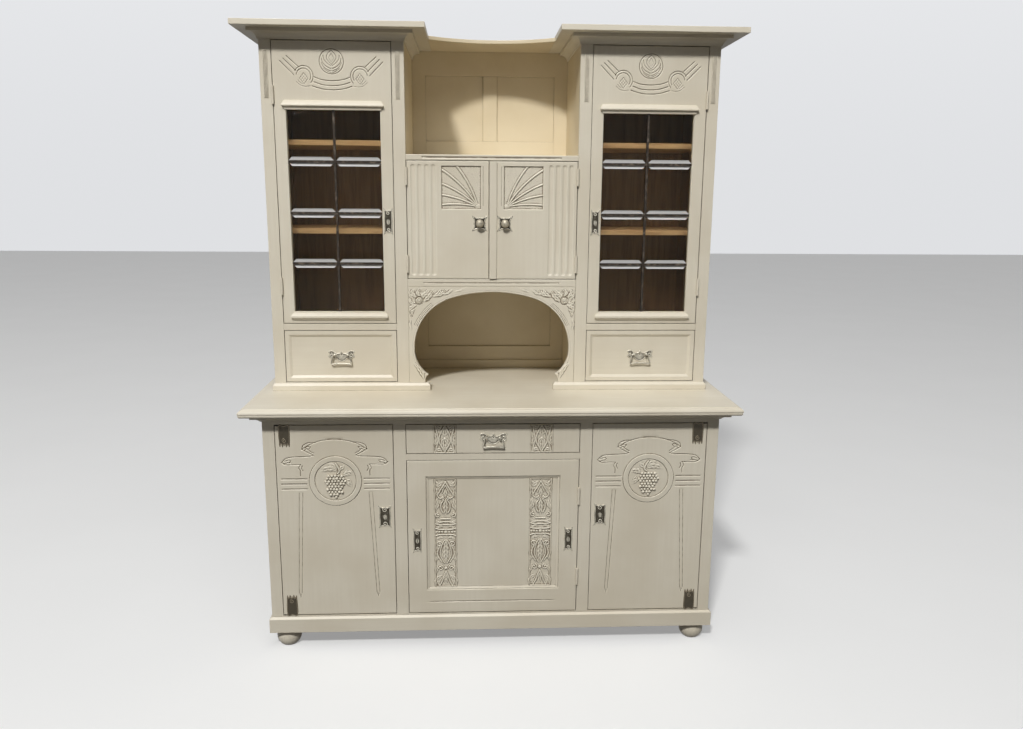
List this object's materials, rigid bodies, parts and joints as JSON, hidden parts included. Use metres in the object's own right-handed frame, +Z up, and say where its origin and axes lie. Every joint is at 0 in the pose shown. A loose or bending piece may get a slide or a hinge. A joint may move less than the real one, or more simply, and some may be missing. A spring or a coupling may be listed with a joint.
{
  "type": "kitchen hutch",
  "caption": "Cream-painted kitchen hutch: carved base cabinet with drawer on bun feet, glazed side towers with drawers, and a small cabinet between open niches.",
  "frame": {"origin": "under the middle of the hutch, on the floor", "axes": "+X to the right seen from the front, +Y to the back, +Z up"},
  "size_m": [1.698, 0.688, 2.126],
  "materials": {
    "cream_paint": "satin cream paint with a dark glaze in the carving",
    "bare_wood": "oiled softwood",
    "old_iron": "dark patina",
    "dark_came": "blackened",
    "bevelled_glass": "clear, bevelled"
  },
  "bodies": {
    "carcass": {"bun_feet": "cream_paint", "plinth": "cream_paint", "base_sides": "cream_paint", "base_floor": "bare_wood", "base_partitions": "bare_wood", "base_face_frame": "cream_paint", "shelves": "bare_wood", "drawer_runners": "bare_wood", "back_boards": "bare_wood", "worktop": "cream_paint", "bed_moulding": "cream_paint", "tower_cases": "cream_paint", "tower_face_frames": "cream_paint", "tower_base_mouldings": "cream_paint", "tower_cornices": "cream_paint", "crown_board": "cream_paint", "niche_back": "cream_paint", "niche_shelf": "cream_paint", "cabinet_floor": "cream_paint", "arch_panel": "cream_paint", "hinge_frame_leaves": "old_iron"},
    "left_glass_door": {"left_glass_door_frame": "cream_paint", "left_glass_panes": "bevelled_glass", "left_glass_came": "dark_came", "left_glass_lock": "old_iron", "left_glass_hinges": "old_iron"},
    "right_glass_door": {"right_glass_door_frame": "cream_paint", "right_glass_panes": "bevelled_glass", "right_glass_came": "dark_came", "right_glass_lock": "old_iron", "right_glass_hinges": "old_iron"},
    "upper_left_door": {"upper_left_door": "cream_paint", "upper_left_ironwork": "old_iron", "upper_left_knob": "old_iron"},
    "upper_right_door": {"upper_right_door": "cream_paint", "meeting_strip": "cream_paint", "upper_right_ironwork": "old_iron"},
    "latch_knob": {"upper_right_knob": "old_iron"},
    "base_left_door": {"base_left_door": "cream_paint", "base_left_lock": "old_iron", "base_left_hinges": "old_iron"},
    "base_right_door": {"base_right_door": "cream_paint", "base_right_lock": "old_iron", "base_right_hinges": "old_iron"},
    "base_centre_door": {"base_centre_door_frame": "cream_paint", "base_centre_door_panel": "cream_paint", "base_centre_locks": "old_iron", "base_centre_hinges": "old_iron"},
    "centre_drawer": {"centre_drawer_front": "cream_paint", "centre_drawer_box": "bare_wood", "centre_pull_plate": "old_iron"},
    "centre_bail": {"centre_bail": "old_iron"},
    "left_drawer": {"left_drawer_front": "cream_paint", "left_drawer_box": "bare_wood", "left_pull_plate": "old_iron"},
    "left_bail": {"left_bail": "old_iron"},
    "right_drawer": {"right_drawer_front": "cream_paint", "right_drawer_box": "bare_wood", "right_pull_plate": "old_iron"},
    "right_bail": {"right_bail": "old_iron"}
  },
  "joints": [
    {"name": "left_glass_door_hinge", "type": "hinge", "parent": "carcass", "child": "left_glass_door", "pos_m": [-0.735, -0.0668, 1.59], "axis": [0, 0, -1], "range_deg": [0, 105]},
    {"name": "right_glass_door_hinge", "type": "hinge", "parent": "carcass", "child": "right_glass_door", "pos_m": [0.735, -0.0668, 1.59], "axis": [0, 0, 1], "range_deg": [0, 105]},
    {"name": "upper_left_door_hinge", "type": "hinge", "parent": "carcass", "child": "upper_left_door", "pos_m": [-0.296, -0.0668, 1.489], "axis": [0, 0, -1], "range_deg": [0, 95]},
    {"name": "upper_right_door_hinge", "type": "hinge", "parent": "carcass", "child": "upper_right_door", "pos_m": [0.296, -0.0668, 1.489], "axis": [0, 0, 1], "range_deg": [0, 95]},
    {"name": "latch_knob_turn", "type": "hinge", "parent": "upper_right_door", "child": "latch_knob", "pos_m": [0.044, -0.062, 1.48], "axis": [0, 1, 0], "range_deg": [0, 90]},
    {"name": "base_left_door_pivot", "type": "hinge", "parent": "carcass", "child": "base_left_door", "pos_m": [-0.729, -0.276, 0.4715], "axis": [0, 0, -1], "range_deg": [0, 95]},
    {"name": "base_right_door_pivot", "type": "hinge", "parent": "carcass", "child": "base_right_door", "pos_m": [0.729, -0.276, 0.4715], "axis": [0, 0, 1], "range_deg": [0, 95]},
    {"name": "base_centre_door_hinge", "type": "hinge", "parent": "carcass", "child": "base_centre_door", "pos_m": [0.296, -0.2858, 0.408], "axis": [0, 0, 1], "range_deg": [0, 95]},
    {"name": "centre_drawer_slide", "type": "slide", "parent": "carcass", "child": "centre_drawer", "axis": [0, -1, 0], "range_m": [0, 0.35]},
    {"name": "centre_bail_swing", "type": "hinge", "parent": "centre_drawer", "child": "centre_bail", "pos_m": [0, -0.292, 0.7715], "axis": [-1, 0, 0], "range_deg": [0, 85]},
    {"name": "left_drawer_slide", "type": "slide", "parent": "carcass", "child": "left_drawer", "axis": [0, -1, 0], "range_m": [0, 0.22]},
    {"name": "left_bail_swing", "type": "hinge", "parent": "left_drawer", "child": "left_bail", "pos_m": [-0.53725, -0.068, 1.01525], "axis": [-1, 0, 0], "range_deg": [0, 85]},
    {"name": "right_drawer_slide", "type": "slide", "parent": "carcass", "child": "right_drawer", "axis": [0, -1, 0], "range_m": [0, 0.22]},
    {"name": "right_bail_swing", "type": "hinge", "parent": "right_drawer", "child": "right_bail", "pos_m": [0.53725, -0.068, 1.01525], "axis": [-1, 0, 0], "range_deg": [0, 85]}
  ]
}
